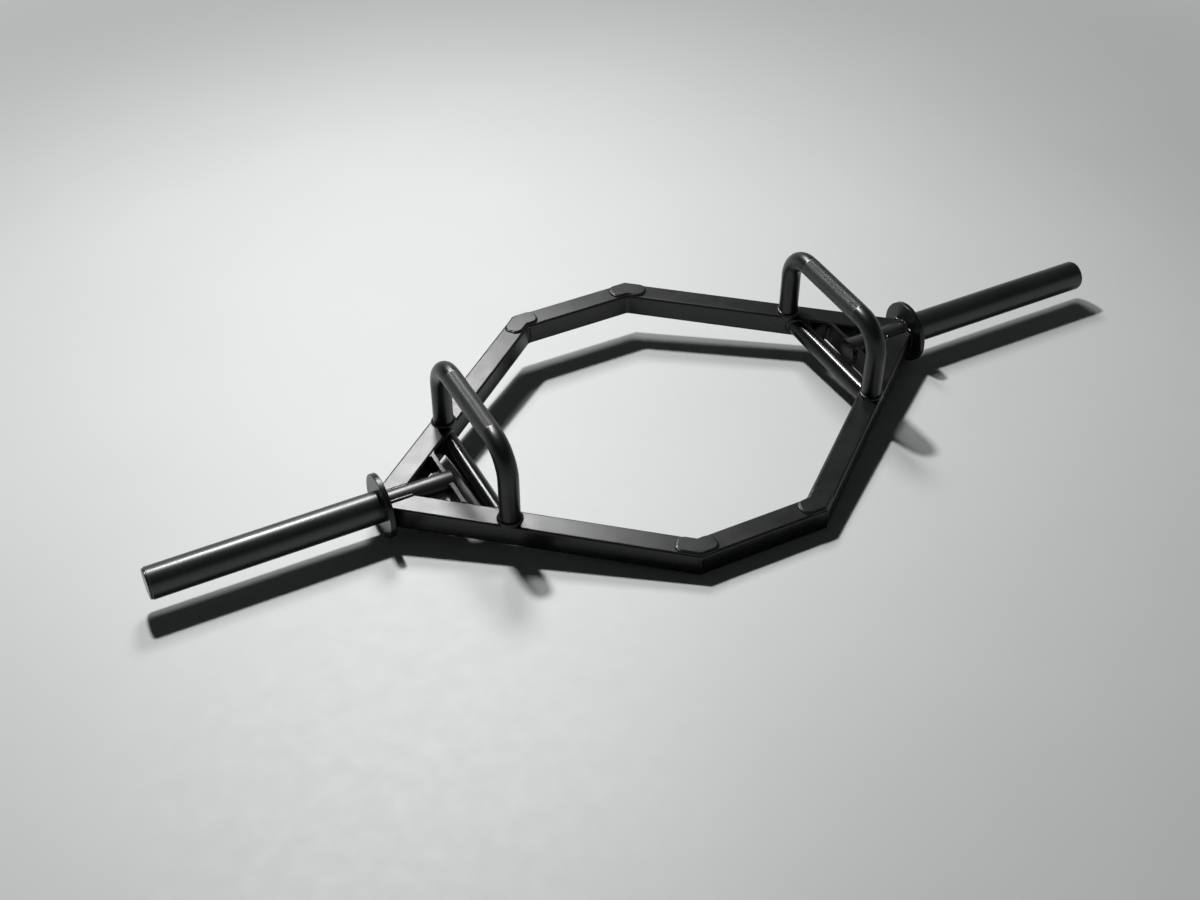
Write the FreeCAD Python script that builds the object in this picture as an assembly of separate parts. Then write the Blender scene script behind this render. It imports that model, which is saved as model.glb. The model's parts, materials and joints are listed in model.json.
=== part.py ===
import FreeCAD, Part
import math
import os

from FreeCAD import Placement, Rotation, Vector

# A hex trap bar: a six-sided frame of square tube that the lifter stands inside, with a loading sleeve at each
# end, and a low and a raised grip on each side. All of it is welded together, so nothing moves.
# It is modelled as it lies on a floor: on the rims of both collars and on its front side tube, which tips the
# frame a few degrees about the sleeves' axis. Millimetres, +X along the sleeves, +Y to the rear, +Z up.
# The origin is on the floor, under the middle of the bar.

# Frame of square tube
hex_length = 938.0  # between the two points where the diagonals' centrelines meet on the sleeves' axis
frame_depth = 612.0  # between the side tubes' centrelines
side_tube_length = 202.0  # between two corners, on the centreline
tube_width = 38.0
tube_wall = 3.0
tube_corner_radius = 4.0

# Collars, the discs that stop the weight plates
collar_diameter = 102.0
collar_thickness = 9.0
collar_edge_round = 1.5

# Loading sleeves, each on a core tube that goes on through the collar and between the diagonals
sleeve_diameter = 50.0
sleeve_length = 352.0  # from the collar's outer face to the tube's end
sleeve_end_chamfer = 1.0
core_diameter = 38.0
core_wall = 4.0
core_overhang = 3.0  # how far the core tube runs past the saddle plate

# End caps, pressed into both ends of each core tube
outer_cap_head = 3.0
outer_cap_round = 1.5
inner_cap_head = 2.0
inner_cap_round = 1.0
cap_step = 0.4  # how much smaller a cap's head is than the end face that it lies on, on the radius
cap_plug_length = 14.0

# Saddle plates, which carry the inner ends of the core tubes between the diagonals
saddle_thickness = 6.0
finger_gap = 17.0  # between the low grip and the cap on the core tube's inner end

# Grips
raised_grip_setback = 150.5  # from the collar's inner face to the grip's centreline
raised_grip_diameter = 32.0
raised_grip_wall = 3.0
raised_grip_height = 135.5  # of the grip's centreline above the sleeves' axis
raised_grip_bend = 48.0
low_grip_offset = 5.5  # how much nearer to the collar it is than the raised grip
low_grip_diameter = 32.0
low_grip_wall = 3.0

# Weld beads round the feet of the raised grips
foot_weld = 3.0
foot_weld_crown_share = 0.4

# Corner plates on top of the frame
corner_plate_thickness = 4.0
corner_plate_inset = 4.5
corner_plate_side_leg = 28.0
corner_plate_diagonal_leg = 33.0
corner_plate_end_round = 12.0
corner_plate_bend_round = 6.0
corner_plate_edge_round = 1.5  # of the top edges

# Fits
weld_gap = 0.3  # the root gap between a coped end and the round tube that it is welded to
press_gap = 0.15  # between a turned piece and the bore that it sits in
overrun = 20.0  # how far a cutting tool runs past what it cuts

# Worked out from the sizes above
full_turn = 360.0
centre = Vector()
along = Vector(1, 0, 0)
rearward = Vector(0, 1, 0)
upward = Vector(0, 0, 1)
half_tube = tube_width / 2
collar_radius = collar_diameter / 2
collar_inner = hex_length / 2
collar_outer = collar_inner + collar_thickness
sleeve_radius = sleeve_diameter / 2
sleeve_end = collar_outer + sleeve_length
sleeve_end_radius = sleeve_radius - sleeve_end_chamfer
core_radius = core_diameter / 2
grip_radius = raised_grip_diameter / 2
low_grip_radius = low_grip_diameter / 2

# Along the sleeves' axis, from the collar in to the raised grip, then out again to the saddle plate
raised_grip_position = collar_inner - raised_grip_setback
low_grip_position = raised_grip_position + low_grip_offset
core_end = low_grip_position + low_grip_radius + finger_gap + inner_cap_head
saddle_start = core_end + core_overhang

# The undersides of the frame and of the sleeves are flush, so the frame lies below the sleeves' axis
frame_bottom = -sleeve_radius
frame_level = frame_bottom + half_tube
frame_top = frame_bottom + tube_width

# The right rear corner, and the directions of the diagonal that leaves it
apex = Vector(hex_length / 2, 0, frame_level)
corner = Vector(side_tube_length / 2, frame_depth / 2, frame_level)
left_corner = Vector(-corner.x, corner.y, frame_level)
diagonal = (apex - corner).normalize()
outward = Vector(-diagonal.y, diagonal.x, 0)
mitre = (along + diagonal).normalize()
inner_face = apex - outward * half_tube
grip_foot = (apex.x - raised_grip_position) * -diagonal.y / diagonal.x

# The frame tips until the rounded lower edge of the front side tube meets the floor
edge_reach = frame_depth / 2 + half_tube - tube_corner_radius
edge_drop = -frame_bottom - tube_corner_radius
edge_lift = collar_radius - tube_corner_radius
rest_angle = math.asin(edge_lift / math.hypot(edge_reach, edge_drop)) - math.atan2(edge_drop, edge_reach)
rest_shift = frame_level * math.sin(rest_angle)  # keeps the middle of the frame over the origin


def rounded_wire(points, radii, closed=True):
    """A wire through flat points, with each corner rounded by its own radius."""
    count = len(points)
    arcs = []
    for index, (point, radius) in enumerate(zip(points, radii)):
        if radius <= 0:
            arcs.append((point, None, point))
            continue
        back = (points[index - 1] - point).normalize()
        ahead = (points[(index + 1) % count] - point).normalize()
        half_angle = back.getAngle(ahead) / 2
        middle = (back + ahead).normalize()
        setback = radius / math.tan(half_angle)
        hub = point + middle * (radius / math.sin(half_angle))
        arcs.append((point + back * setback, hub - middle * radius, point + ahead * setback))
    edges = []
    for index, (start, through, end) in enumerate(arcs):
        if index or closed:
            edges.append(Part.LineSegment(arcs[index - 1][2], start).toShape())
        if through:
            edges.append(Part.Arc(start, through, end).toShape())
    return Part.Wire(edges)


def turned(profile, radii):
    """A solid turned about the sleeves' axis, from points given as distance along it and radius."""
    points = [Vector(distance, 0, radius) for distance, radius in profile]
    return Part.Face(rounded_wire(points, radii)).revolve(centre, along, full_turn)


def round_section(place, direction, radius, wall):
    """The ring-shaped section of a round tube."""
    outer = Part.Face(Part.Wire(Part.makeCircle(radius, place, direction)))
    inner = Part.Face(Part.Wire(Part.makeCircle(radius - wall, place, direction)))
    return outer.cut(inner).Faces[0]


def beyond(point, direction):
    """A block that fills the far side of a plane, for trimming what crosses it."""
    size = hex_length + overrun
    block = Part.makeBox(size, 2 * size, 2 * size, Vector(0, -size, -size))
    block.Placement = Placement(point, Rotation(along, direction))
    return block


def core_cope():
    """The round tool that copes what is welded to the right core tube."""
    start = core_end - overrun
    return Part.makeCylinder(core_radius + weld_gap, collar_outer - start, along * start, along)


def square_section(width, radius):
    """A square with rounded corners, facing along the sleeves' axis."""
    half = width / 2
    corners = [Vector(0, y, z) for y, z in ((-half, -half), (half, -half), (half, half), (-half, half))]
    return Part.Face(rounded_wire(corners, [radius] * len(corners)))


def square_tube(start, end):
    """A square tube between two points, one tube width too long at each end for the cuts there."""
    run = end - start
    outer = square_section(tube_width, tube_corner_radius)
    inner = square_section(tube_width - 2 * tube_wall, max(tube_corner_radius - tube_wall, 0))
    tube = outer.cut(inner).extrude(along * (run.Length + 2 * tube_width))
    run.normalize()
    tube.Placement = Placement(start - run * tube_width, Rotation(along, run))
    return tube


def side_tube():
    """The rear side tube, mitred at both corners."""
    tube = square_tube(left_corner, corner)
    tube = tube.cut(beyond(corner, mitre))
    return tube.cut(beyond(left_corner, Vector(-mitre.x, mitre.y, 0)))


def diagonal_tube():
    """The right rear diagonal: mitred at the corner, cut off at the collar and coped round the core tube."""
    tube = square_tube(corner, apex)
    tube = tube.cut(beyond(corner, mitre * -1))
    tube = tube.cut(beyond(along * collar_inner, along))
    tube = tube.cut(beyond(centre, rearward * -1))
    return tube.cut(core_cope())


def core_tube():
    """The right core tube, from inside the frame through the collar to the sleeve's end."""
    start = along * core_end
    return round_section(start, along, core_radius, core_wall).extrude(along * (sleeve_end - core_end))


def sleeve_tube():
    """The right sleeve, pressed on the core tube and up against the collar."""
    bore = core_radius + press_gap
    profile = [
        (collar_outer, bore),
        (collar_outer, sleeve_radius),
        (sleeve_end - sleeve_end_chamfer, sleeve_radius),
        (sleeve_end, sleeve_end_radius),
        (sleeve_end, bore),
    ]
    return turned(profile, [0] * len(profile))


def collar_disc():
    """The right collar, on the core tube between the diagonals and the sleeve."""
    bore = core_radius + press_gap
    profile = [
        (collar_inner, bore),
        (collar_inner, collar_radius),
        (collar_outer, collar_radius),
        (collar_outer, bore),
    ]
    return turned(profile, [0, collar_edge_round, collar_edge_round, 0])


def end_cap(seat, outwards, head, edge_round, face_radius):
    """A cap at one end of the right core tube: a round-edged head on a plug in the bore."""
    plug_radius = core_radius - core_wall - press_gap
    head_radius = face_radius - cap_step
    face = seat + outwards * head
    bottom = seat - outwards * cap_plug_length
    profile = [
        (bottom, 0),
        (bottom, plug_radius),
        (seat, plug_radius),
        (seat, head_radius),
        (face, head_radius),
        (face, 0),
    ]
    return turned(profile, [0, 0, 0, 0, edge_round, 0])


def saddle_plate():
    """The right saddle plate, across the frame between both diagonals and notched for the core tube."""
    start = Vector(saddle_start, -frame_depth / 2, frame_bottom)
    plate = Part.makeBox(saddle_thickness, frame_depth, tube_width, start)
    rear_cut = beyond(inner_face, outward)
    return plate.cut(rear_cut).cut(rear_cut.mirror(centre, rearward)).cut(core_cope())


def raised_grip():
    """The right raised grip, a U of round tube that stands on both diagonals."""
    front_foot = Vector(raised_grip_position, -grip_foot, frame_top)
    front_bend = Vector(raised_grip_position, -grip_foot, raised_grip_height)
    rear_bend = Vector(raised_grip_position, grip_foot, raised_grip_height)
    rear_foot = Vector(raised_grip_position, grip_foot, frame_top)
    bends = [0, raised_grip_bend, raised_grip_bend, 0]
    path = rounded_wire([front_foot, front_bend, rear_bend, rear_foot], bends, closed=False)
    return path.makePipe(round_section(front_foot, upward, grip_radius, raised_grip_wall))


def foot_welds():
    """The two weld beads round the feet of the right raised grip."""
    crown = grip_radius + foot_weld * foot_weld_crown_share
    beads = []
    for side in (-1, 1):
        foot = Vector(raised_grip_position, side * grip_foot, frame_top)
        bead = Part.makeCone(grip_radius + foot_weld, crown, foot_weld, foot, upward)
        beads.append(bead.cut(Part.makeCylinder(grip_radius + press_gap, foot_weld, foot, upward)))
    return Part.makeCompound(beads)


def low_grip():
    """The right low grip, between the inner faces of both diagonals."""
    start = Vector(low_grip_position, -frame_depth / 2, frame_level)
    bar = round_section(start, rearward, low_grip_radius, low_grip_wall).extrude(rearward * frame_depth)
    rear_cut = beyond(inner_face, outward)
    return bar.cut(rear_cut).cut(rear_cut.mirror(centre, rearward))


def corner_plate():
    """The right rear corner plate, bent with the corner and rounded at both ends."""
    half = half_tube - corner_plate_inset
    across = (rearward + outward).normalize()
    corner_reach = across * (half / across.dot(rearward))
    side_end = corner - along * corner_plate_side_leg
    diagonal_end = corner + diagonal * corner_plate_diagonal_leg
    outline = [
        side_end + rearward * half,
        corner + corner_reach,
        diagonal_end + outward * half,
        diagonal_end - outward * half,
        corner - corner_reach,
        side_end - rearward * half,
    ]
    end_round = corner_plate_end_round
    bend_round = corner_plate_bend_round
    wire = rounded_wire(outline, [end_round, bend_round, end_round, end_round, bend_round, end_round])
    plate = Part.Face(wire).extrude(upward * corner_plate_thickness)
    middle_height = frame_level + corner_plate_thickness / 2
    top_edges = [edge for edge in plate.Edges if edge.BoundBox.ZMin > middle_height]
    plate = plate.makeFillet(corner_plate_edge_round, top_edges)
    return plate.translated(upward * half_tube)


def on_side(shape, side):
    """A right-hand piece as it is, or mirrored to the left."""
    return shape if side == "right" else shape.mirror(centre, along)


def at_end(shape, end):
    """A rear piece as it is, or mirrored to the front."""
    return shape if end == "rear" else shape.mirror(centre, rearward)


def write(name, shape):
    """Lays a piece on the floor with the rest of the bar and writes its file."""
    laid = shape.copy()
    laid.rotate(centre, along, math.degrees(rest_angle))
    laid.translate(Vector(0, rest_shift, collar_radius))
    laid.exportStep(f"parts/{name}.step")


def build():
    """Writes every piece of the bar."""
    os.makedirs("parts", exist_ok=True)
    outer_cap = end_cap(sleeve_end, 1, outer_cap_head, outer_cap_round, sleeve_end_radius)
    inner_cap = end_cap(core_end, -1, inner_cap_head, inner_cap_round, core_radius)
    single = {
        "core_tube": core_tube(),
        "sleeve_tube": sleeve_tube(),
        "collar_disc": collar_disc(),
        "outer_end_cap": outer_cap,
        "inner_end_cap": inner_cap,
        "saddle_plate": saddle_plate(),
        "raised_grip": raised_grip(),
        "raised_grip_foot_welds": foot_welds(),
        "low_grip": low_grip(),
    }
    double = {
        "diagonal_tube": diagonal_tube(),
        "corner_plate": corner_plate(),
    }
    rear_side_tube = side_tube()
    for end in ("rear", "front"):
        write(f"{end}_side_tube", at_end(rear_side_tube, end))
    for side in ("left", "right"):
        for name, shape in single.items():
            write(f"{side}_{name}", on_side(shape, side))
        for name, shape in double.items():
            for end in ("rear", "front"):
                write(f"{side}_{end}_{name}", at_end(on_side(shape, side), end))


build()
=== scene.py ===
import json
import math
import random

import bmesh
import bpy
from bpy.props import FloatProperty, FloatVectorProperty, IntProperty, PointerProperty
from mathutils import Euler, Matrix, Vector


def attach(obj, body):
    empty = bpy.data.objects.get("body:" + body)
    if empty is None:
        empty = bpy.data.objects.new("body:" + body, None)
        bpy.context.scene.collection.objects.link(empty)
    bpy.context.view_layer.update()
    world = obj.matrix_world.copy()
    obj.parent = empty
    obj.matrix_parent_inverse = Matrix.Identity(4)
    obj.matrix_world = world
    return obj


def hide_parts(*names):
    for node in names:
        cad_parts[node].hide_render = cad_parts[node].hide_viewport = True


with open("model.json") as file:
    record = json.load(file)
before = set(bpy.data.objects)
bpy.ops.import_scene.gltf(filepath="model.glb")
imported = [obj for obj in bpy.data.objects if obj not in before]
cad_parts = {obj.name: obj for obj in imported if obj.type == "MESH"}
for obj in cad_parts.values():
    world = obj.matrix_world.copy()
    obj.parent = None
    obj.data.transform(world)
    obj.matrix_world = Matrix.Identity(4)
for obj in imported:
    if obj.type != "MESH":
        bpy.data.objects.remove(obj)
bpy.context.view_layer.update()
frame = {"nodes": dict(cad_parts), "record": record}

bl_info = {
    "name": "Hex Trap Bar Finish",
    "version": (1, 0, 0),
    "blender": (4, 5, 0),
    "location": "3D View > Sidebar > Trap Bar",
    "description": "Weld beads, knurled grips, paint and a plain studio for a hex trap bar",
    "category": "Object",
}

# Where the bar lies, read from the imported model. The pieces are shaped with the bar level and the
# sleeves' axis on X, then laid down on the floor, where the bar is tipped a few degrees about that axis.
sides = {"right": 1, "left": -1}
ends = {"rear": 1, "front": -1}
millimetre = 0.001
touch = 0.05 * millimetre
full_turn = 2 * math.pi
quarter_turn = full_turn / 4
leftward = Vector((-1, 0, 0))
rightward = Vector((1, 0, 0))
rearward = Vector((0, 1, 0))
forward = Vector((0, -1, 0))
upward = Vector((0, 0, 1))
downward = Vector((0, 0, -1))
mounts = {mount["name"]: mount for mount in frame["record"]["mounts"]}
sleeve_place = mounts["right_sleeve"]["pos_m"]
grip_axis = mounts["right_raised_grip"]["axis"]
rest_angle = math.atan2(grip_axis[2], grip_axis[1])
lay_down = Matrix.Translation((0, sleeve_place[1], sleeve_place[2])) @ Matrix.Rotation(rest_angle, 4, "X")


def level_places(node):
    """The points of a CAD node's mesh with the bar level and the sleeves' axis on X."""
    raise_up = lay_down.inverted()
    return [raise_up @ vertex.co for vertex in frame["nodes"][node].data.vertices]


def level_box(node):
    """The lowest and highest corners of a CAD node with the bar level."""
    places = level_places(node)
    low = Vector(min(place[axis] for place in places) for axis in range(3))
    high = Vector(max(place[axis] for place in places) for axis in range(3))
    return low, high


# The square tubes of the frame, and the right rear corner with the diagonal that leaves it
side_low, side_high = level_box("rear_side_tube")
diagonal_low = level_box("right_rear_diagonal_tube")[0]
collar_low = level_box("right_collar_disc")[0]
tube_top = side_high.z
tube_bottom = side_low.z
half_tube = (tube_top - tube_bottom) / 2
tube_level = (tube_top + tube_bottom) / 2
on_flat_top = [place.y for place in level_places("rear_side_tube") if place.z > tube_top - touch]
tube_flat = max(on_flat_top) - side_high.y + half_tube
tube_round = half_tube - tube_flat
corner = Vector(((side_high.x + diagonal_low.x) / 2, side_high.y - half_tube, tube_level))
apex = Vector((collar_low.x, 0, tube_level))
diagonal = (apex - corner).normalized()
outward = Vector((-diagonal.y, diagonal.x, 0))
inner_face = (apex - outward * half_tube).dot(outward)

# The round tubes and the plates between them
core_low, core_high = level_box("right_core_tube")
core_radius = core_high.z
saddle_low, saddle_high = level_box("right_saddle_plate")
low_grip_low, low_grip_high = level_box("right_low_grip")
low_grip_radius = (low_grip_high.x - low_grip_low.x) / 2
low_grip_middle = (low_grip_low + low_grip_high) / 2
grip_low, grip_high = level_box("right_raised_grip")
grip_radius = (grip_high.x - grip_low.x) / 2
grip_foot = Vector((grip_low.x + grip_radius, grip_high.y - grip_radius, tube_top))
grip_straight = mounts["right_raised_grip"]["dims"]["length_mm"] * millimetre
grip_middle = Vector((grip_foot.x, 0, grip_high.z - grip_radius))


class WeldSizes(bpy.types.PropertyGroup):
    """Sizes of the weld beads."""

    foot_leg: FloatProperty(
        name="Grip Foot Leg",
        description="Leg of the bead round each foot of the raised grips",
        default=4.2 * millimetre,
        unit="LENGTH",
    )
    low_grip_leg: FloatProperty(
        name="Low Grip Leg",
        description="Leg of the bead round each end of the low grips",
        default=3.4 * millimetre,
        unit="LENGTH",
    )
    saddle_leg: FloatProperty(
        name="Saddle Leg",
        description="Leg of the beads along the saddle plates",
        default=4.0 * millimetre,
        unit="LENGTH",
    )
    collar_leg: FloatProperty(
        name="Collar Leg",
        description="Leg of the bead that joins the frame to each collar",
        default=4.5 * millimetre,
        unit="LENGTH",
    )
    core_leg: FloatProperty(
        name="Core Leg",
        description="Leg of the beads between the core tubes and the diagonals",
        default=2.6 * millimetre,
        unit="LENGTH",
    )
    plate_leg: FloatProperty(
        name="Corner Plate Leg",
        description="Leg of the bead round each corner plate",
        default=2.4 * millimetre,
        unit="LENGTH",
    )
    mitre_reach: FloatProperty(
        name="Mitre Reach",
        description="How far the beads at the mitres reach to each side of the seam",
        default=3.6 * millimetre,
        unit="LENGTH",
    )
    ripple_pitch: FloatProperty(
        name="Ripple Pitch",
        description="Distance between two ripples of a bead",
        default=2.4 * millimetre,
        unit="LENGTH",
    )
    ripple_depth: FloatProperty(
        name="Ripple Depth",
        description="Height of a ripple as a share of the bead's leg",
        default=0.1,
        subtype="FACTOR",
    )
    unevenness: FloatProperty(
        name="Unevenness",
        description="How much a bead's leg swells and shrinks along the seam, as a share",
        default=0.07,
        subtype="FACTOR",
    )


class KnurlSizes(bpy.types.PropertyGroup):
    """Sizes of the knurling on the raised grips."""

    diamonds_round: IntProperty(
        name="Diamonds Round",
        description="Number of diamonds round the grip",
        default=48,
    )
    height: FloatProperty(
        name="Height",
        description="Height of the diamonds above the valleys between them",
        default=0.2 * millimetre,
        unit="LENGTH",
    )
    margin: FloatProperty(
        name="Margin",
        description="Length at each end of the straight stretch that stays smooth",
        default=3.0 * millimetre,
        unit="LENGTH",
    )
    fade: FloatProperty(
        name="Fade",
        description="Length at each end over which the diamonds fade out",
        default=3.5 * millimetre,
        unit="LENGTH",
    )


class PaintFinish(bpy.types.PropertyGroup):
    """Colours and gloss of the finishes."""

    frame_colour: FloatVectorProperty(
        name="Frame Colour",
        description="Satin black paint of the frame, the core tubes, the plates and the collars",
        default=(0.0034, 0.0038, 0.004),
        subtype="COLOR",
    )
    sleeve_colour: FloatVectorProperty(
        name="Sleeve Colour",
        description="Satin black paint of the loading sleeves",
        default=(0.0055, 0.0065, 0.0068),
        subtype="COLOR",
    )
    grip_colour: FloatVectorProperty(
        name="Grip Colour",
        description="Satin black paint of the grips",
        default=(0.0034, 0.0038, 0.004),
        subtype="COLOR",
    )
    cap_colour: FloatVectorProperty(
        name="Cap Colour",
        description="Black plastic of the end caps",
        default=(0.008, 0.0083, 0.0086),
        subtype="COLOR",
    )
    rubbed_colour: FloatVectorProperty(
        name="Rubbed Colour",
        description="Grey of the paint where hands and plates have rubbed it",
        default=(0.075, 0.08, 0.082),
        subtype="COLOR",
    )
    tip_colour: FloatVectorProperty(
        name="Tip Colour",
        description="Grey of the knurling's tips where hands have rubbed the paint thin",
        default=(0.17, 0.178, 0.18),
        subtype="COLOR",
    )
    dust_colour: FloatVectorProperty(
        name="Dust Colour",
        description="Fine dust that settles on upward faces",
        default=(0.16, 0.16, 0.155),
        subtype="COLOR",
    )
    paint_gloss: FloatProperty(
        name="Paint Gloss",
        description="Specular level of the paint on the frame, the welds and the grips",
        default=0.42,
        subtype="FACTOR",
    )
    tube_gloss: FloatProperty(
        name="Tube Gloss",
        description="Specular level of the paint on the sleeves, the core tubes and the knurling",
        default=0.75,
        subtype="FACTOR",
    )
    core_roughness: FloatProperty(
        name="Core Roughness",
        description="Mean roughness of the paint on the core tubes",
        default=0.36,
        subtype="FACTOR",
    )
    paint_roughness: FloatProperty(
        name="Paint Roughness",
        description="Mean roughness of the paint on the frame",
        default=0.29,
        subtype="FACTOR",
    )
    sleeve_roughness: FloatProperty(
        name="Sleeve Roughness",
        description="Mean roughness of the sleeves, which the plates have polished",
        default=0.35,
        subtype="FACTOR",
    )
    grip_roughness: FloatProperty(
        name="Grip Roughness",
        description="Mean roughness of the raised grips and their knurling",
        default=0.33,
        subtype="FACTOR",
    )
    low_grip_roughness: FloatProperty(
        name="Low Grip Roughness",
        description="Mean roughness of the low grips, which hands have polished",
        default=0.21,
        subtype="FACTOR",
    )
    peel_depth: FloatProperty(
        name="Orange Peel Depth",
        description="Depth of the fine waviness of the sprayed paint",
        default=0.03 * millimetre,
        unit="LENGTH",
    )
    edge_width: FloatProperty(
        name="Worn Edge Width",
        description="How far from an edge the paint is thinned",
        default=1.6 * millimetre,
        unit="LENGTH",
    )


class StageSettings(bpy.types.PropertyGroup):
    """Floor, light and camera."""

    floor_colour: FloatVectorProperty(
        name="Floor Colour",
        description="Pale grey of the studio floor",
        default=(0.66, 0.675, 0.675),
        subtype="COLOR",
    )
    floor_size: FloatProperty(
        name="Floor Size",
        description="Length of the floor's edges",
        default=60.0,
        unit="LENGTH",
    )
    lamp_place: FloatVectorProperty(
        name="Lamp Place",
        description="Where the soft key lamp hangs, behind the bar and a little to its left",
        default=(-0.228, 1.81, 2.94),
        subtype="TRANSLATION",
    )
    lamp_aim: FloatVectorProperty(
        name="Lamp Aim",
        description="The point of the floor that both lamps face",
        default=(-0.45, -0.5, 0.0),
        subtype="TRANSLATION",
    )
    lamp_size: FloatProperty(
        name="Lamp Size",
        description="Width of the soft key lamp",
        default=0.28,
        unit="LENGTH",
    )
    lamp_power: FloatProperty(
        name="Lamp Power",
        description="Power of the soft key lamp in watts",
        default=47.0,
    )
    side_place: FloatVectorProperty(
        name="Side Lamp Place",
        description="Where the larger, weaker lamp hangs that the tops of the tubes reflect",
        default=(0.45, 1.95, 2.25),
        subtype="TRANSLATION",
    )
    side_size: FloatProperty(
        name="Side Lamp Size",
        description="Width of the larger, weaker lamp",
        default=0.7,
        unit="LENGTH",
    )
    side_power: FloatProperty(
        name="Side Lamp Power",
        description="Power of the larger, weaker lamp in watts",
        default=18.0,
    )
    lamp_spread: FloatProperty(
        name="Lamp Spread",
        description="Angle of the lamps' beams",
        default=math.radians(125),
        subtype="ANGLE",
    )
    fill_colour: FloatVectorProperty(
        name="Fill Colour",
        description="Colour of the even light from all round",
        default=(0.95, 0.98, 1.0),
        subtype="COLOR",
    )
    fill_strength: FloatProperty(
        name="Fill Strength",
        description="Strength of the even light from all round",
        default=0.022,
    )
    background: FloatVectorProperty(
        name="Background",
        description="Pale grey behind the floor",
        default=(0.56, 0.575, 0.575),
        subtype="COLOR",
    )
    ceiling: FloatVectorProperty(
        name="Ceiling",
        description="Dark grey of the studio overhead, which the paint reflects",
        default=(0.05, 0.052, 0.053),
        subtype="COLOR",
    )
    camera_place: FloatVectorProperty(
        name="Camera Place",
        description="Where the camera stands",
        default=(-1.01495, -1.91624, 1.61734),
        subtype="TRANSLATION",
    )
    camera_turn: FloatVectorProperty(
        name="Camera Turn",
        description="How the camera is turned",
        default=[math.radians(angle) for angle in (52.9293, 2.1683, -26.9932)],
        subtype="EULER",
    )
    camera_lens: FloatProperty(
        name="Camera Lens",
        description="Focal length in millimetres on a sensor 36 mm wide",
        default=50.2534,
    )


# Ranges of noise over which a pattern goes from nothing to its full strength
soft_range = (0.3, 0.7)
mottle_range = (0.25, 0.75)
chip_range = (0.46, 0.66)
speck_range = (0.55, 0.8)
streak_range = (0.6, 0.85)
ring_range = (0.56, 0.74)
scuff_range = (0.4, 0.65)
rub_range = (0.35, 0.65)
dust_range = (0.35, 0.7)

# Ranges of other values
edge_range = (0.985, 0.9)  # of the cosine between the rounded and the flat normal
settle_range = (0.55, 1.0)  # of a normal's height, where dust settles
tip_range = (0.45, 1.0)  # of the height on the knurling, where hands rub
haze_range = (1.3, 2.9)  # of the distance from the bar's middle, in metres
overhead_range = (0.05, 0.45)  # of a direction's height, from the walls to the ceiling

# How much the finishes vary
speck_share = 0.1
scuff_share = 0.12
tip_share = 0.8
thinnest_dust = 0.35
least_rubbing = 0.25
smoother = 0.03
rougher = 0.035
rougher_sleeve = 0.04
dust_roughness = 0.8
scuff_roughness = 0.05
tip_polish = 0.1
weld_polish = 0.05
cap_roughness = (0.2, 0.28)
floor_roughness = (0.5, 0.56)
streak_depth = 0.12  # as a share of the orange peel, and so is the next
mould_depth = 0.3


# Shader nodes. Each helper adds its nodes to the tree of the sockets that it is given.
def add_node(tree, kind, inputs, **options):
    """A new shader node. Inputs are values or the sockets of other nodes."""
    node = tree.nodes.new(kind)
    for name, value in options.items():
        setattr(node, name, value)
    for name, value in inputs.items():
        if isinstance(value, bpy.types.NodeSocket):
            tree.links.new(value, node.inputs[name])
        else:
            node.inputs[name].default_value = value
    return node


def noise(place, scale, detail):
    """Noise from 0 to 1 at a scale in features per metre."""
    inputs = {"Vector": place, "Scale": scale, "Detail": detail, "Roughness": 0.55}
    return add_node(place.id_data, "ShaderNodeTexNoise", inputs).outputs["Fac"]


def spread(value, found, wanted=(0, 1)):
    """A value moved from the range it is found in to the one that is wanted, and held inside that."""
    limits = dict(zip(("From Min", "From Max", "To Min", "To Max"), (*found, *wanted)))
    return add_node(value.id_data, "ShaderNodeMapRange", {"Value": value, **limits}).outputs["Result"]


def sums(operation, first, second):
    """One step of arithmetic on a socket's value and another one."""
    inputs = {0: first, 1: second}
    return add_node(first.id_data, "ShaderNodeMath", inputs, operation=operation).outputs["Value"]


def mixed(share, first, second):
    """A colour between two colours. The sockets go by number, because several have the same name."""
    node = add_node(share.id_data, "ShaderNodeMix", {0: share, 6: first, 7: second}, data_type="RGBA")
    return node.outputs[2]


def toned(colour, tone=1):
    """A colour made paler or darker, with full opacity."""
    return (*(part * tone for part in colour), 1.0)


def uneven(clouds, colour, tone):
    """A colour that goes over to another tone in soft clouds."""
    return mixed(spread(clouds, soft_range), toned(colour), toned(colour, tone))


def stretched(place, scale):
    """Coordinates stretched for a pattern that runs along one direction."""
    inputs = {"Vector": place, "Scale": scale}
    return add_node(place.id_data, "ShaderNodeMapping", inputs).outputs["Vector"]


def rubbed_edges(place, film, paint, share):
    """A colour that goes over to grey on edges where the paint has worn thin, broken up by noise."""
    tree = place.id_data
    rounded = add_node(tree, "ShaderNodeBevel", {"Radius": paint.edge_width}, samples=4).outputs["Normal"]
    flat = add_node(tree, "ShaderNodeNewGeometry", {}).outputs["Normal"]
    normals = {0: rounded, 1: flat}
    cosine = add_node(tree, "ShaderNodeVectorMath", normals, operation="DOT_PRODUCT").outputs["Value"]
    chips = spread(noise(place, scale=90, detail=5), chip_range)
    worn = sums("MULTIPLY", spread(cosine, edge_range, (0, share)), chips)
    return mixed(worn, film, toned(paint.rubbed_colour))


def settled_dust(place, amount):
    """How much dust lies at a point: on upward faces only, in soft patches."""
    normal = add_node(place.id_data, "ShaderNodeNewGeometry", {}).outputs["Normal"]
    height = add_node(place.id_data, "ShaderNodeSeparateXYZ", {"Vector": normal}).outputs["Z"]
    patches = spread(noise(place, scale=14, detail=6), dust_range, (thinnest_dust, 1))
    return sums("MULTIPLY", spread(height, settle_range, (0, amount)), patches)


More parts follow.
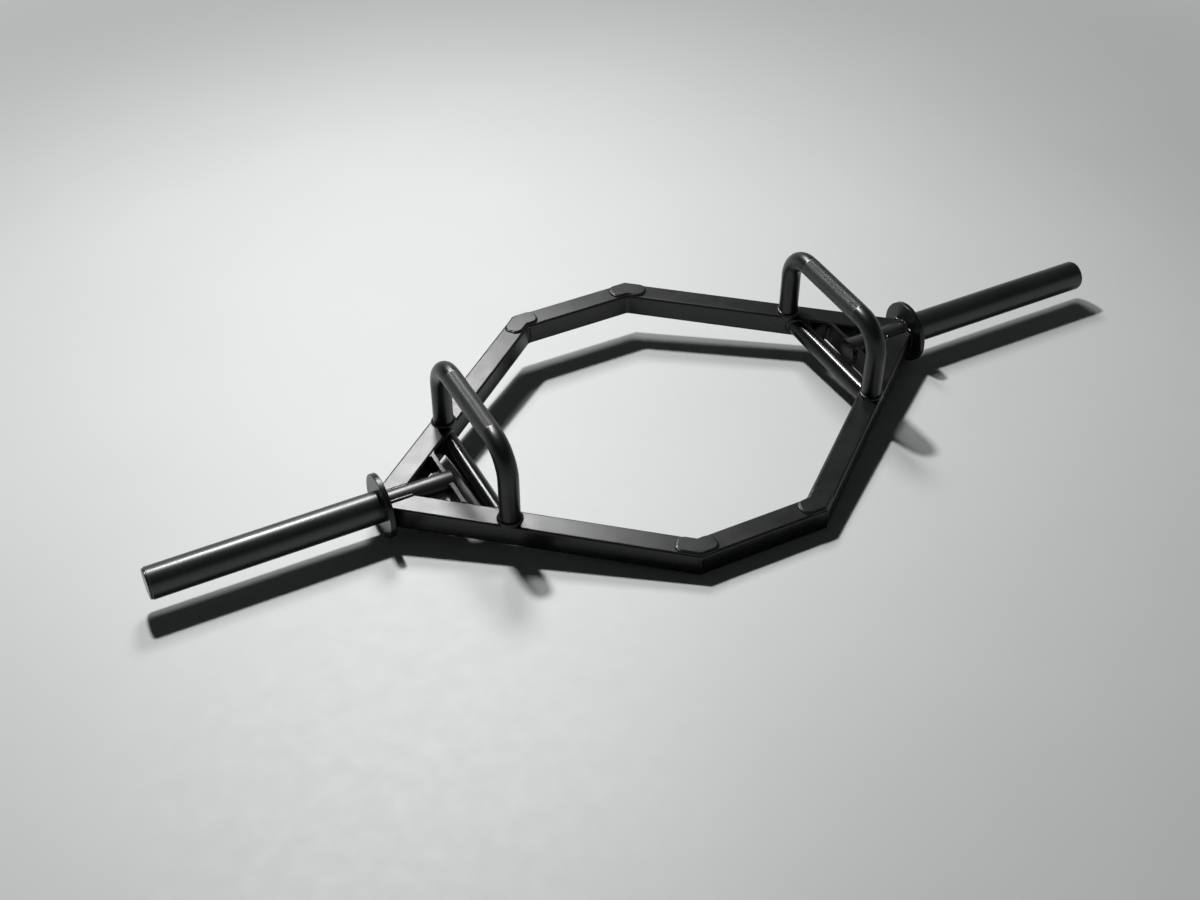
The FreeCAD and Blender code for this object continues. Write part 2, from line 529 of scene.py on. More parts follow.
def new_finish(name, specular):
    """A new material with its shader and its coordinates."""
    material = bpy.data.materials.new(name)
    material.use_nodes = True
    shader = material.node_tree.nodes["Principled BSDF"]
    shader.inputs["Specular IOR Level"].default_value = specular
    place = add_node(material.node_tree, "ShaderNodeTexCoord", {}).outputs["Object"]
    return material, shader, place


def wire_up(shader, colour, roughness, height, depth):
    """Links a finish to its shader, with the height as bump of that depth in metres."""
    tree = shader.id_data
    bump = add_node(tree, "ShaderNodeBump", {"Height": height, "Strength": 1.0, "Distance": depth})
    tree.links.new(colour, shader.inputs["Base Color"])
    tree.links.new(roughness, shader.inputs["Roughness"])
    tree.links.new(bump.outputs["Normal"], shader.inputs["Normal"])


def looked_at(tree):
    """1 where the camera, a reflection or glass looks, and 0 where only light is gathered."""
    rays = add_node(tree, "ShaderNodeLightPath", {}).outputs
    sharp = sums("MAXIMUM", rays["Is Glossy Ray"], rays["Is Transmission Ray"])
    return sums("MAXIMUM", rays["Is Camera Ray"], sharp)


def end_in_both(output, share, first, second):
    """Ends a tree in a mix of two shaders."""
    tree = share.id_data
    both = add_node(tree, "ShaderNodeMixShader", {0: share, 1: first.outputs[0], 2: second.outputs[0]})
    tree.links.new(both.outputs[0], tree.nodes[output].inputs["Surface"])


# Finishes
def sprayed_paint(name, colour, roughness, gloss, paint):
    """Satin sprayed paint: uneven film, orange peel, thin edges and a little dust on top."""
    material, shader, place = new_finish(name, gloss)
    film = uneven(noise(place, scale=9, detail=5), colour, tone=1.7)
    specks = spread(noise(place, scale=420, detail=3), speck_range, (0, speck_share))
    speckled = mixed(specks, film, toned(paint.rubbed_colour))
    thinned = rubbed_edges(place, speckled, paint, share=0.55)
    dust = settled_dust(place, amount=0.03)
    dusty = mixed(dust, thinned, toned(paint.dust_colour))
    gloss_range = (roughness - smoother, roughness + rougher)
    matt = spread(noise(place, scale=38, detail=6), soft_range, gloss_range)
    rough = sums("ADD", matt, sums("MULTIPLY", dust, dust_roughness))
    wire_up(shader, dusty, rough, noise(place, scale=700, detail=2), paint.peel_depth)
    return material


def sleeve_paint(paint):
    """Satin paint polished by sliding plates: fine streaks along the sleeve and faint rings round it."""
    material, shader, place = new_finish("sleeve_satin", paint.tube_gloss)
    streaks = noise(stretched(place, scale=(0.05, 1, 1)), scale=520, detail=4)
    rings = noise(stretched(place, scale=(1, 0.02, 0.02)), scale=260, detail=5)
    clouds = noise(place, scale=11, detail=5)
    scuffs = sums("MULTIPLY", spread(rings, ring_range), spread(clouds, scuff_range))
    film = uneven(clouds, paint.sleeve_colour, tone=1.6)
    slid = mixed(spread(streaks, streak_range, (0, scuff_share)), film, toned(paint.rubbed_colour))
    scuffed = mixed(sums("MULTIPLY", scuffs, scuff_share), slid, toned(paint.rubbed_colour))
    worn = rubbed_edges(place, scuffed, paint, share=0.8)
    dusty = mixed(settled_dust(place, amount=0.02), worn, toned(paint.dust_colour))
    gloss_range = (paint.sleeve_roughness - smoother, paint.sleeve_roughness + rougher_sleeve)
    matt = spread(streaks, soft_range, gloss_range)
    rough = sums("ADD", matt, sums("MULTIPLY", scuffs, scuff_roughness))
    wire_up(shader, dusty, rough, streaks, paint.peel_depth * streak_depth)
    return material


def knurl_paint(paint):
    """Grip paint that hands have rubbed off the tips of the knurling."""
    material, shader, place = new_finish("knurl_satin", paint.tube_gloss)
    tips = add_node(place.id_data, "ShaderNodeAttribute", {}, attribute_name="rubbed").outputs["Fac"]
    patches = spread(noise(place, scale=45, detail=4), rub_range, (least_rubbing, 1))
    rubbed = sums("MULTIPLY", spread(tips, tip_range, (0, tip_share)), patches)
    colour = mixed(rubbed, toned(paint.grip_colour), toned(paint.tip_colour))
    gloss_range = (paint.grip_roughness, paint.grip_roughness - tip_polish)
    rough = spread(rubbed, (0, tip_share), gloss_range)
    wire_up(shader, colour, rough, noise(place, scale=900, detail=2), paint.peel_depth)
    return material


def moulded_plastic(paint):
    """Black plastic of the end caps, with the fine grain of its mould and scuffed rims."""
    material, shader, place = new_finish("cap_gloss", specular=0.6)
    clouds = noise(place, scale=40, detail=4)
    film = uneven(clouds, paint.cap_colour, tone=1.5)
    scuffed = rubbed_edges(place, film, paint, share=0.6)
    rough = spread(clouds, soft_range, cap_roughness)
    grain = noise(place, scale=1100, detail=4)
    wire_up(shader, scuffed, rough, grain, paint.peel_depth * mould_depth)
    return material


def studio_floor(colour, far_colour):
    """Pale sealed floor, faintly mottled, that goes over into the pale background far from the bar."""
    material, shader, place = new_finish("studio_floor", specular=0.35)
    tree = material.node_tree
    clouds = spread(noise(place, scale=1.6, detail=6), mottle_range)
    mottled = mixed(clouds, toned(colour, tone=0.95), toned(colour))
    fine = noise(place, scale=30, detail=6)
    rough = spread(fine, soft_range, floor_roughness)
    wire_up(shader, mottled, rough, fine, depth=0.02 * millimetre)
    distance = add_node(tree, "ShaderNodeVectorMath", {0: place}, operation="LENGTH").outputs["Value"]
    share = sums("MULTIPLY", spread(distance, haze_range), looked_at(tree))
    haze = add_node(tree, "ShaderNodeEmission", {"Color": toned(far_colour), "Strength": 1.0})
    end_in_both("Material Output", share, shader, haze)
    return material


def finish_nodes(names, material):
    """Gives CAD nodes their finish."""
    for name in names:
        for slot in frame["nodes"][name].material_slots:
            slot.material = material


def both_sides(*pieces):
    """The names of these nodes on the left and on the right."""
    return [f"{side}_{piece}" for side in sides for piece in pieces]


def every_corner(piece):
    """The names of this node at all four corners."""
    return [f"{side}_{end}_{piece}" for side in sides for end in ends]


# Weld beads. A seam is a list of stations. Each has its place, the directions in which the two legs of
# the bead run from there, and the direction in which the bead bulges. A section lists, round the bead,
# the share of the first leg, of the second leg and of the bulge at each point.
fillet = (
    (1.0, -0.45, 0.0),
    (1.0, 0.04, 0.3),
    (0.78, 0.34, 0.9),
    (0.56, 0.56, 1.0),
    (0.34, 0.78, 0.9),
    (0.04, 1.0, 0.3),
    (-0.45, 1.0, 0.0),
    (-0.45, -0.45, 0.0),
)
dome = (
    (1.0, 0.0, -0.45),
    (1.0, 0.0, 0.08),
    (0.6, 0.0, 0.7),
    (0.0, 0.0, 1.0),
    (0.0, 0.6, 0.7),
    (0.0, 1.0, 0.08),
    (0.0, 1.0, -0.45),
    (0.0, 0.0, -1.2),
)
fillet_crown = 0.16  # height of the bulge as a share of the leg
dome_crown = 0.3
steps_in_ripple = 4
fewest_ripples = 3
ripple_lag = 0.35  # how far a ripple's edges trail behind its crown, in ripples
swell_lengths = (34 * millimetre, 13 * millimetre)
end_share = 0.55  # size of an open bead's first section, as a share of the leg
end_growth = 0.15  # what each section after it gains
half = 0.5  # how far a ripple, and a grid one unit wide, reach from their middle
ring_steps = 72
mitre_inset = 0.7  # as a share of the tubes' rounding
overhang_share = 0.95  # how much of the core tube's inner end its bead may cover
collar_clear = 0.8  # as a share of the collar bead's leg
past_notch = 2 * millimetre  # where the collar's bead reaches the diagonal's top
below_top = 1 * millimetre  # where the saddle's beads round the core tube begin
merge = 0.01 * millimetre
weld_smooth_angle = math.radians(50)
knurl_smooth_angle = math.radians(20)


def station(place, first, second, bulge=None):
    """One station of a seam."""
    first = first.normalized()
    second = second.normalized()
    return place, first, second, (bulge or first + second).normalized()


def arc(start, end, steps):
    """Angles at even steps from a start to an end."""
    return [start + (end - start) * step / steps for step in range(steps + 1)]


def corner_drop(distance):
    """How far a square tube's rounded edge lies below its flat, at a distance from the face's middle."""
    over = min(abs(distance) - tube_flat, tube_round)
    if over <= 0:
        return 0.0
    return tube_round - math.sqrt(tube_round**2 - over**2)


def drop_on_top(place):
    """How far the rounded edge of the nearer rear tube lies below the frame's top."""
    across_side = place.y - corner.y
    across_diagonal = (place - corner).dot(outward)
    before_corner = (place - corner).dot(rightward + diagonal) < 0
    return downward * corner_drop(across_side if before_corner else across_diagonal)


def drop_on_inner_face(place):
    """How far the rounded edge of a diagonal lies behind its inner face."""
    return outward * corner_drop(place.z - tube_level)


def on_inner_face(x, z):
    """The point of the right rear diagonal's inner face at that x and that height."""
    return Vector((x, (inner_face - x * outward.x) / outward.y, z))


def inner_face_x(y):
    """How far along the sleeves' axis that inner face lies at that y."""
    return (inner_face - y * outward.y) / outward.x


def on_collar(offset):
    """A point on the right collar's inner face."""
    return Vector((apex.x, 0, 0)) + offset


def walk(seam, pitch, closed):
    """Stations at even distances along a seam, a few to each ripple, and the seam's length."""
    path = seam + seam[:1] if closed else seam
    lengths = [(b[0] - a[0]).length for a, b in zip(path, path[1:])]
    total = sum(lengths)
    count = max(round(total / pitch), fewest_ripples) * steps_in_ripple
    stations = []
    index = 0
    passed = 0.0
    for step in range(count + 1):
        distance = total * step / count
        while index < len(lengths) - 1 and passed + lengths[index] < distance:
            passed += lengths[index]
            index += 1
        share = min((distance - passed) / lengths[index], 1.0)
        stations.append([a.lerp(b, share) for a, b in zip(path[index], path[index + 1])])
    return stations, total


def lay_bead(mesh, seam, leg, chance, section=fillet, closed=False, drop=None):
    """Lays one rippled bead along a seam: a grid whose columns follow the seam and rows the section."""
    welds = bpy.context.scene.trap_bar_welds
    stations, total = walk(seam, welds.ripple_pitch, closed)
    columns = len(stations) - 1
    rows = len(section)
    mean_crown = dome_crown if section is dome else fillet_crown
    swells = [(round(total / length) or 1, chance.uniform(0, full_turn)) for length in swell_lengths]
    grid = bmesh.ops.create_grid(mesh, x_segments=columns, y_segments=rows, size=half)["verts"]
    for vertex in grid:
        column = round((vertex.co.x + half) * columns)
        row = round((vertex.co.y + half) * rows) % rows
        place, first, second, bulge = stations[column]
        first_share, second_share, bulge_share = section[row]
        swell = sum(math.sin(full_turn * waves * column / columns + start) for waves, start in swells)
        size = leg * (1 + welds.unevenness * swell / len(swells))
        if not closed:
            size *= min(1.0, end_share + end_growth * min(column, columns - column))
        ripple = (column / steps_in_ripple - ripple_lag * (1 - bulge_share)) % 1.0
        crown = bulge_share * (mean_crown + welds.ripple_depth * (half - ripple))
        target = place + (first * first_share + second * second_share + bulge * crown) * size
        if drop:
            target += drop(target) * max(0.0, 1 - max(second_share, 0))
        vertex.co = target


def mirrored(mesh, side, end):
    """Turns a right rear piece into the one on this side and at this end."""
    bmesh.ops.scale(mesh, vec=(sides[side], ends[end], 1), verts=mesh.verts)


def join(mesh, other):
    """Adds one bmesh to another."""
    data = bpy.data.meshes.new("part")
    other.to_mesh(data)
    other.free()
    mesh.from_mesh(data)
    bpy.data.meshes.remove(data)


def new_object(name, mesh, material):
    """Makes an object of a bmesh and adds it to the scene."""
    data = bpy.data.meshes.new(name)
    mesh.to_mesh(data)
    mesh.free()
    data.materials.append(material)
    added = bpy.data.objects.new(name, data)
    bpy.context.scene.collection.objects.link(added)
    return added


def finish_piece(name, mesh, material, smooth_angle, replaced=()):
    """Closes a level piece, lays it down with the bar and makes it an object that rides on it."""
    bmesh.ops.remove_doubles(mesh, verts=mesh.verts, dist=0.001 * millimetre)
    bmesh.ops.holes_fill(mesh, edges=[edge for edge in mesh.edges if edge.is_boundary], sides=0)
    bmesh.ops.transform(mesh, matrix=lay_down, verts=mesh.verts)
    bmesh.ops.recalc_face_normals(mesh, faces=mesh.faces)
    piece = new_object(name, mesh, material)
    piece.data.shade_smooth()
    piece.data.set_sharp_from_angle(angle=smooth_angle)
    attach(piece, "root")
    if replaced:
        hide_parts(*replaced)


def finish_weld(name, mesh, replaced=()):
    """Finishes a piece of weld beads, which all have the same paint."""
    paint = bpy.context.scene.trap_bar_paint
    material = bpy.data.materials.get("weld_satin")
    if not material:
        look = (paint.frame_colour, paint.paint_roughness - weld_polish, paint.paint_gloss, paint)
        material = sprayed_paint("weld_satin", *look)
    finish_piece(name, mesh, material, weld_smooth_angle, replaced)


def laid_beads(side, end, name, lay):
    """Beads that are laid at the right rear, by a chance of their own, and mirrored from there."""
    mesh = bmesh.new()
    lay(mesh, random.Random(name), bpy.context.scene.trap_bar_welds)
    mirrored(mesh, side, end)
    return mesh


def weld_both_sides(joint, lay, *replaced):
    """Welds one kind of joint, with a piece for each side."""
    for side in sides:
        mesh = bmesh.new()
        for end in ends:
            join(mesh, laid_beads(side, end, f"{side}_{end}_{joint}", lay))
        finish_weld(f"{side}_{joint}_beads", mesh, [f"{side}_{node}" for node in replaced])


def weld_every_corner(piece, lay):
    """Welds one kind of joint, with a piece for each corner."""
    for side in sides:
        for end in ends:
            name = f"{side}_{end}_{piece}"
            finish_weld(name, laid_beads(side, end, name, lay))


class TRAPBAR_OT_stage(bpy.types.Operator):
    """Lays the floor, hangs the two soft lamps and sets up the camera"""

    bl_idname = "trap_bar.stage"
    bl_label = "Set the Stage"

    def execute(self, context):
        scene = context.scene
        stage = scene.trap_bar_stage
        self.lay_floor(stage)
        self.hang(scene, "soft_lamp", stage.lamp_place, stage.lamp_size, stage.lamp_power)
        self.hang(scene, "side_lamp", stage.side_place, stage.side_size, stage.side_power)
        self.surround(scene, stage)
        self.stand_camera(scene, stage)
        scene.view_settings.view_transform = "Standard"
        return {"FINISHED"}

    def lay_floor(self, stage):
        """Lays one large flat floor."""
        mesh = bmesh.new()
        bmesh.ops.create_grid(mesh, x_segments=1, y_segments=1, size=stage.floor_size / 2)
        floor = new_object("floor", mesh, studio_floor(stage.floor_colour, stage.background))

    def hang(self, scene, name, place, size, power):
        """Hangs one round soft lamp that faces the lamps' point of the floor."""
        stage = scene.trap_bar_stage
        lamp = bpy.data.lights.new(name, "AREA")
        lamp.shape = "DISK"
        lamp.size = size
        lamp.energy = power
        lamp.spread = stage.lamp_spread
        hung = bpy.data.objects.new(name, lamp)
        hung.location = place
        hung.rotation_euler = (Vector(place) - Vector(stage.lamp_aim)).to_track_quat("Z", "Y").to_euler()
        scene.collection.objects.link(hung)

    def surround(self, scene, stage):
        """Sets a weak even light all round, and the pale walls and dark ceiling that are seen there."""
        world = bpy.data.worlds.new("studio")
        world.use_nodes = True
        tree = world.node_tree
        fill = tree.nodes["Background"]
        fill.inputs["Color"].default_value = toned(stage.fill_colour)
        fill.inputs["Strength"].default_value = stage.fill_strength
        direction = add_node(tree, "ShaderNodeTexCoord", {}).outputs["Generated"]
        height = add_node(tree, "ShaderNodeSeparateXYZ", {"Vector": direction}).outputs["Z"]
        overhead = spread(height, overhead_range)
        walls = mixed(overhead, toned(stage.background), toned(stage.ceiling))
        backdrop = add_node(tree, "ShaderNodeBackground", {"Color": walls, "Strength": 1.0})
        end_in_both("World Output", looked_at(tree), fill, backdrop)
        scene.world = world

    def stand_camera(self, scene, stage):
        """Stands the camera in front of the bar, to its left."""
        camera = bpy.data.cameras.new("camera")
        camera.sensor_fit = "HORIZONTAL"
        camera.sensor_width = 36.0
        camera.lens = stage.camera_lens
        standing = bpy.data.objects.new("camera", camera)
        standing.location = stage.camera_place
        standing.rotation_euler = Euler(stage.camera_turn)
        scene.collection.objects.link(standing)
        scene.camera = standing


class TRAPBAR_OT_paint_frame(bpy.types.Operator):
    """Paints the tubes, plates and collars of the frame satin black"""

    bl_idname = "trap_bar.paint_frame"
    bl_label = "Paint the Frame"

    def execute(self, context):
        paint = context.scene.trap_bar_paint
        frame_look = (paint.frame_colour, paint.paint_roughness, paint.paint_gloss, paint)
        material = sprayed_paint("frame_satin", *frame_look)
        finish_nodes(("rear_side_tube", "front_side_tube"), material)
        finish_nodes(every_corner("diagonal_tube") + every_corner("corner_plate"), material)
        finish_nodes(both_sides("saddle_plate", "collar_disc"), material)
        core_look = (paint.frame_colour, paint.core_roughness, paint.tube_gloss, paint)
        finish_nodes(both_sides("core_tube"), sprayed_paint("core_satin", *core_look))
        return {"FINISHED"}


class TRAPBAR_OT_paint_sleeves(bpy.types.Operator):
    """Paints the loading sleeves and wears them where plates slide"""

    bl_idname = "trap_bar.paint_sleeves"
    bl_label = "Paint the Sleeves"

    def execute(self, context):
        finish_nodes(both_sides("sleeve_tube"), sleeve_paint(context.scene.trap_bar_paint))
        return {"FINISHED"}


class TRAPBAR_OT_paint_grips(bpy.types.Operator):
    """Paints the low and the raised grips"""

    bl_idname = "trap_bar.paint_grips"
    bl_label = "Paint the Grips"

    def execute(self, context):
        paint = context.scene.trap_bar_paint
        raised_look = (paint.grip_colour, paint.grip_roughness, paint.paint_gloss, paint)
        finish_nodes(both_sides("raised_grip"), sprayed_paint("grip_satin", *raised_look))
        low_look = (paint.grip_colour, paint.low_grip_roughness, paint.paint_gloss, paint)
        finish_nodes(both_sides("low_grip"), sprayed_paint("low_grip_satin", *low_look))
        return {"FINISHED"}


class TRAPBAR_OT_mould_caps(bpy.types.Operator):
    """Gives the end caps their moulded plastic"""

    bl_idname = "trap_bar.mould_caps"
    bl_label = "Mould the Caps"

    def execute(self, context):
        material = moulded_plastic(context.scene.trap_bar_paint)
        finish_nodes(both_sides("outer_end_cap", "inner_end_cap"), material)
        return {"FINISHED"}


class TRAPBAR_OT_knurl_grips(bpy.types.Operator):
    """Rolls knurling on the straight stretch of the raised grips"""

    bl_idname = "trap_bar.knurl_grips"
    bl_label = "Knurl the Grips"

    def execute(self, context):
        knurl = context.scene.trap_bar_knurl
        material = knurl_paint(context.scene.trap_bar_paint)
        for side in sides:
            mesh = self.rolled_skin(knurl)
            mirrored(mesh, side, "rear")
            finish_piece(f"{side}_knurl", mesh, material, knurl_smooth_angle)
        return {"FINISHED"}

    def rolled_skin(self, knurl):
        """A thin sleeve of diamonds on the right grip, sunk into it at both ends and closed inside."""
        around = knurl.diamonds_round
        pitch = full_turn * grip_radius / around
        length = grip_straight - 2 * knurl.margin
        rows = round(length / pitch)
        mesh = self.flat_diamonds(around, rows)
        rubbed = mesh.verts.layers.float["rubbed"]
        sink = 0.3 * millimetre
        lift = 0.05 * millimetre
        for vertex in mesh.verts:
            angle = full_turn * vertex.co.x / around
            along = vertex.co.y * length / rows
            to_end = length / 2 - abs(along)
            fade = min(to_end / knurl.fade, 1.0)
            rise = lift + knurl.height * vertex[rubbed] * fade
            if to_end < touch:
                rise = -sink
            radius = grip_radius + rise
            vertex[rubbed] *= fade
            vertex.co = grip_middle + Vector((radius * math.cos(angle), along, radius * math.sin(angle)))
        bmesh.ops.remove_doubles(mesh, verts=mesh.verts, dist=merge)
        bmesh.ops.bridge_loops(mesh, edges=[edge for edge in mesh.edges if edge.is_boundary])
        return mesh

    def flat_diamonds(self, around, rows):
        """A flat sheet of raised diamonds, each one unit wide, with its tips marked as rubbed."""
        half_round = around / 2
        half_rows = rows / 2
        cells = 2 * math.ceil(half_round + half_rows)
        cell_width = math.sqrt(0.5)  # one unit across the corners
        mesh = bmesh.new()
        rubbed = mesh.verts.layers.float.new("rubbed")
        bmesh.ops.create_grid(mesh, x_segments=cells, y_segments=cells, size=cells * cell_width / 2)
        bmesh.ops.rotate(mesh, matrix=Matrix.Rotation(full_turn / 8, 3, "Z"), verts=mesh.verts)
        for tip in bmesh.ops.poke(mesh, faces=mesh.faces)["verts"]:
            tip[rubbed] = 1.0
        for direction, reach in ((rightward, half_round), (rearward, half_rows)):
            for way in (-1, 1):
                bmesh.ops.bisect_plane(
                    mesh,
                    geom=mesh.verts[:] + mesh.edges[:] + mesh.faces[:],
                    dist=0.001,
                    plane_co=direction * reach * way,
                    plane_no=direction * way,
                    clear_outer=True,
                )
        return mesh


class TRAPBAR_OT_weld_grip_feet(bpy.types.Operator):
    """Lays a bead round each foot of the raised grips"""

    bl_idname = "trap_bar.weld_grip_feet"
    bl_label = "Weld the Grip Feet"

    def execute(self, context):
        weld_both_sides("foot", self.lay, "raised_grip_foot_welds")
        return {"FINISHED"}

    def lay(self, mesh, chance, welds):
        """Round the right rear foot."""
        seam = []
        for angle in arc(0, full_turn, ring_steps)[:-1]:
            away = Vector((math.cos(angle), math.sin(angle), 0))
            seam.append(station(grip_foot + away * grip_radius, away, upward))
        lay_bead(mesh, seam, welds.foot_leg, chance, closed=True, drop=drop_on_top)


class TRAPBAR_OT_weld_low_grips(bpy.types.Operator):
    """Lays a bead round each end of the low grips"""

    bl_idname = "trap_bar.weld_low_grips"
    bl_label = "Weld the Low Grips"

    def execute(self, context):
        weld_both_sides("low_grip", self.lay)
        return {"FINISHED"}

    def lay(self, mesh, chance, welds):
        """Round the rear end of the right low grip, where it meets the diagonal's inner face."""
        seam = []
        for angle in arc(0, full_turn, ring_steps)[:-1]:
            away = Vector((math.cos(angle), 0, math.sin(angle)))
            place = low_grip_middle + away * low_grip_radius
            on_face = away - outward * away.dot(outward)
            seam.append(station(on_inner_face(place.x, place.z), on_face, forward))
        lay_bead(mesh, seam, welds.low_grip_leg, chance, closed=True, drop=drop_on_inner_face)


class TRAPBAR_OT_weld_saddles(bpy.types.Operator):
    """Lays the beads along the ends of the saddle plates and round the core tubes in them"""

    bl_idname = "trap_bar.weld_saddles"
    bl_label = "Weld the Saddles"

    def execute(self, context):
        weld_both_sides("saddle", self.lay)
        return {"FINISHED"}

    def lay(self, mesh, chance, welds):
        """Both edges of the plate's rear end, and the core tube's rear half on both faces."""
        leg = welds.saddle_leg
        inner_leg = min(leg, (saddle_low.x - core_low.x) * overhang_share)
        lay_bead(mesh, self.upright(saddle_low.x, diagonal * -1), leg, chance)
        lay_bead(mesh, self.upright(saddle_high.x, diagonal), leg, chance)
        lay_bead(mesh, self.cradle(saddle_low.x, leftward), inner_leg, chance)
        lay_bead(mesh, self.cradle(saddle_high.x, rightward), leg, chance)

    def upright(self, x, along_face):
        """Up one edge of the plate's rear end."""
        heights = (tube_bottom + tube_round / 2, tube_top - tube_round / 2)
        return [station(on_inner_face(x, z), along_face, forward) for z in heights]

    def cradle(self, x, along_core):
        """Round the core tube on one face of the plate, from its top to the tube's underside."""
        start = math.asin((tube_top - below_top) / core_radius)
        seam = []
        for angle in arc(start, -quarter_turn, steps=30):
            away = Vector((0, math.cos(angle), math.sin(angle)))
            seam.append(station(Vector((x, 0, 0)) + away * core_radius, away, along_core))
        return seam


class TRAPBAR_OT_weld_collars(bpy.types.Operator):
    """Lays the beads between the collars, the core tubes and the diagonals"""

    bl_idname = "trap_bar.weld_collars"
    bl_label = "Weld the Collars"

    def execute(self, context):
        weld_both_sides("collar", self.lay)
        return {"FINISHED"}

    def lay(self, mesh, chance, welds):
        """On the collar's inner face, along the core tube, and down the corner beside it."""
        lay_bead(mesh, self.round_frame(), welds.collar_leg, chance)
        lay_bead(mesh, self.on_top(welds.collar_leg * collar_clear), welds.core_leg, chance)
        lay_bead(mesh, self.down_the_corner(), welds.core_leg, chance)

    def round_frame(self):
        """On the collar, from the core tube's top round the rear diagonal to the middle underneath."""
        seam = []
        notch = math.asin(tube_top / core_radius)
        for angle in arc(quarter_turn, notch, steps=12):
            away = Vector((0, math.cos(angle), math.sin(angle)))
            seam.append(station(on_collar(away * core_radius), away, leftward))
        side_face = half_tube / outward.y
        for y in (core_radius * math.cos(notch) + past_notch, side_face - tube_round):
            seam.append(station(on_collar(Vector((0, y, tube_top))), upward, leftward))
        for z in (tube_top - tube_round, tube_bottom + tube_round):
            seam.append(station(on_collar(Vector((0, side_face, z))), rearward, diagonal * -1))
        for y in (side_face - tube_round, 0):
            seam.append(station(on_collar(Vector((0, y, tube_bottom))), downward, leftward))
        return seam

    def on_top(self, clear):
        """Along the core tube on the diagonal's top, from near the collar to the inner edge."""
        y = math.sqrt(core_radius**2 - tube_top**2)
        up_core = Vector((0, -tube_top, y))
        reach = (apex.x - clear, inner_face_x(y) + tube_round)
        return [station(Vector((x, y, tube_top)), rearward, up_core) for x in reach]

    def down_the_corner(self):
        """Down the narrow corner between the core tube and the diagonal's inner face."""
        start = math.asin((tube_top - tube_round / 2) / core_radius)
        seam = []
        for angle in arc(start, -full_turn / 8, steps=24):
            y = core_radius * math.cos(angle)
            z = core_radius * math.sin(angle)
            seam.append(station(Vector((inner_face_x(y), y, z)), diagonal * -1, leftward))
        return seam


class TRAPBAR_OT_weld_corner_plates(bpy.types.Operator):
    """Lays a bead round each corner plate"""

    bl_idname = "trap_bar.weld_corner_plates"
    bl_label = "Weld the Corner Plates"

    def execute(self, context):
        weld_every_corner("corner_bead", self.lay)
        return {"FINISHED"}

    def lay(self, mesh, chance, welds):
        """Round the right rear plate."""
        seam = self.outline("right_rear_corner_plate")
        lay_bead(mesh, seam, welds.plate_leg, chance, closed=True, drop=drop_on_top)

    def outline(self, node):
        """Round a plate where it lies on the tubes, from the outline of its underside."""
        mesh = bmesh.new()
        mesh.from_mesh(frame["nodes"][node].data)
        bmesh.ops.transform(mesh, matrix=lay_down.inverted(), verts=mesh.verts)
        bmesh.ops.remove_doubles(mesh, verts=mesh.verts, dist=merge)
        bmesh.ops.dissolve_limit(mesh, angle_limit=math.radians(1), verts=mesh.verts, edges=mesh.edges)
        underside = min(mesh.faces, key=lambda face: face.normal.z * face.calc_area())
        loop = [vertex.co.copy() for vertex in reversed(underside.verts)]
        mesh.free()
        seam = []
        for index, place in enumerate(loop):
            ahead = loop[(index + 1) % len(loop)] - place
            behind = place - loop[index - 1]
            along = (ahead.normalized() + behind.normalized()).normalized()
            away = Vector((along.y, -along.x, 0))
            seam.append(station(Vector((place.x, place.y, tube_top)), away, upward))
        return seam


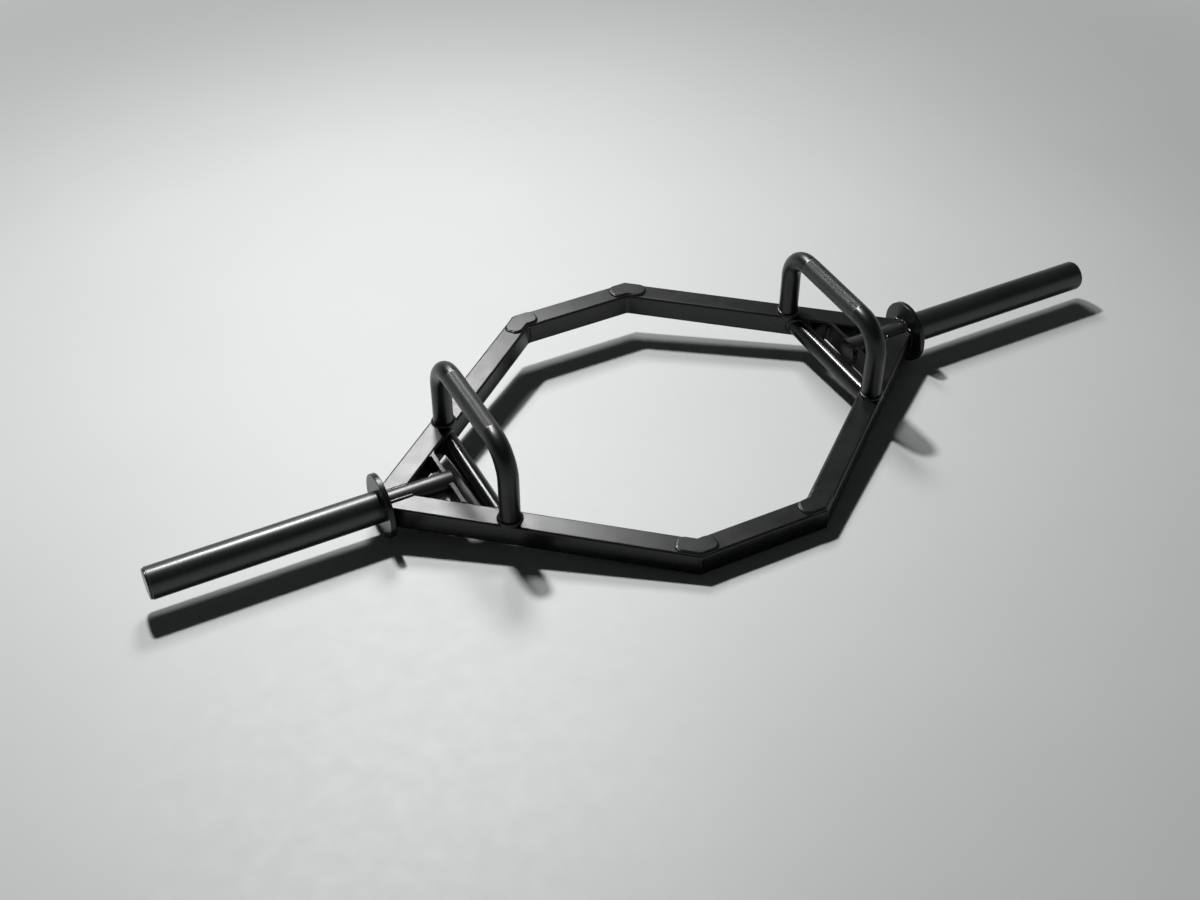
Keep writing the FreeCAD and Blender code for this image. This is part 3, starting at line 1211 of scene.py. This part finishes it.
class TRAPBAR_OT_weld_mitres(bpy.types.Operator):
    """Lays the upright beads where the side tubes meet the diagonals"""

    bl_idname = "trap_bar.weld_mitres"
    bl_label = "Weld the Mitres"

    def execute(self, context):
        weld_every_corner("mitre_beads", self.lay)
        return {"FINISHED"}

    def lay(self, mesh, chance, welds):
        """Up the outer and the inner edge of the right rear mitre."""
        lay_bead(mesh, self.upright(1), welds.mitre_reach, chance, section=dome)
        lay_bead(mesh, self.upright(-1), welds.mitre_reach, chance)

    def upright(self, way):
        """Up the mitre's outer edge, or up the inner one where way is -1."""
        across = (rearward + outward).normalized()
        edge = corner + across * (way * half_tube / across.dot(rearward))
        inset = tube_round * mitre_inset
        heights = (tube_bottom + inset, tube_top - inset)
        places = [Vector((edge.x, edge.y, z)) for z in heights]
        return [station(place, leftward, diagonal, across * way) for place in places]


class TRAPBAR_PT_finish(bpy.types.Panel):
    """Sizes, finishes and steps of the trap bar"""

    bl_idname = "TRAPBAR_PT_finish"
    bl_label = "Trap Bar"
    bl_space_type = "VIEW_3D"
    bl_region_type = "UI"
    bl_category = "Trap Bar"

    def draw(self, context):
        for name in settings:
            box = self.layout.box()
            group = getattr(context.scene, name)
            for prop in group.bl_rna.properties:
                if prop.identifier in group.__annotations__:
                    box.prop(group, prop.identifier)
        for operator in operators:
            self.layout.operator(operator.bl_idname)


settings = {
    "trap_bar_welds": WeldSizes,
    "trap_bar_knurl": KnurlSizes,
    "trap_bar_paint": PaintFinish,
    "trap_bar_stage": StageSettings,
}
operators = (
    TRAPBAR_OT_stage,
    TRAPBAR_OT_paint_frame,
    TRAPBAR_OT_paint_sleeves,
    TRAPBAR_OT_paint_grips,
    TRAPBAR_OT_mould_caps,
    TRAPBAR_OT_knurl_grips,
    TRAPBAR_OT_weld_grip_feet,
    TRAPBAR_OT_weld_low_grips,
    TRAPBAR_OT_weld_saddles,
    TRAPBAR_OT_weld_collars,
    TRAPBAR_OT_weld_corner_plates,
    TRAPBAR_OT_weld_mitres,
)


def register():
    """Registers the settings, the operators and the panel."""
    for name, group in settings.items():
        bpy.utils.register_class(group)
        setattr(bpy.types.Scene, name, PointerProperty(type=group))
    for operator in operators:
        bpy.utils.register_class(operator)
    bpy.utils.register_class(TRAPBAR_PT_finish)


def unregister():
    """Takes the panel, the operators and the settings away again."""
    bpy.utils.unregister_class(TRAPBAR_PT_finish)
    for operator in reversed(operators):
        bpy.utils.unregister_class(operator)
    for name, group in reversed(settings.items()):
        delattr(bpy.types.Scene, name)
        bpy.utils.unregister_class(group)


def main():
    """Finishes the bar step by step."""
    register()
    for operator in operators:
        family, step = operator.bl_idname.split(".")
        getattr(getattr(bpy.ops, family), step)()


if __name__ == "__main__":
    main()
